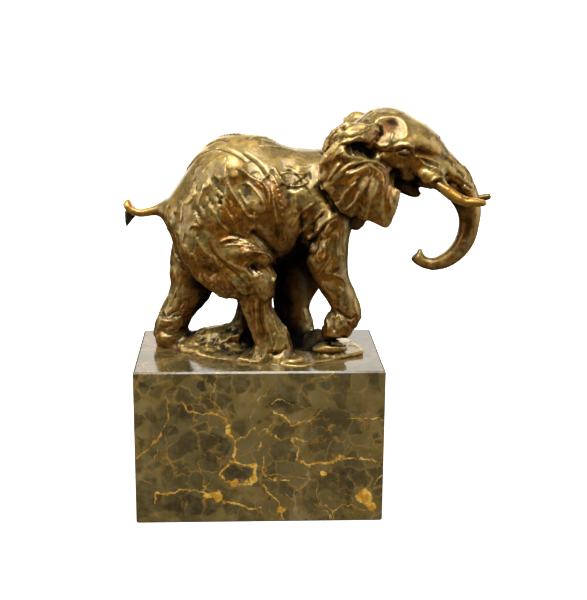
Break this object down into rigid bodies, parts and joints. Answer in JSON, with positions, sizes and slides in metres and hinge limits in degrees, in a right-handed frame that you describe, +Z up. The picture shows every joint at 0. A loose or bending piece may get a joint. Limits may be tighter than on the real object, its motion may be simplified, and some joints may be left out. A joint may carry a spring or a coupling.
{
  "type": "bronze elephant sculpture on a marble plinth",
  "caption": "Striding elephant with lowered trunk and raised tusks, cast in bronze with its rocky ground, on a veined marble block.",
  "frame": {"origin": "centre of the marble block's underside", "axes": "+Z up, +X the way the elephant walks, +Y its left side"},
  "size_m": [0.2552, 0.106, 0.2804],
  "materials": {
    "bronze": "waxed gold-brown patina, bright on the ridges and dark in the hollows",
    "marble": "polished dark olive-brown marble with dark pebbles and golden veins"
  },
  "bodies": {
    "root": {"bronze_elephant": "bronze", "marble_plinth": "marble"}
  },
  "joints": []
}
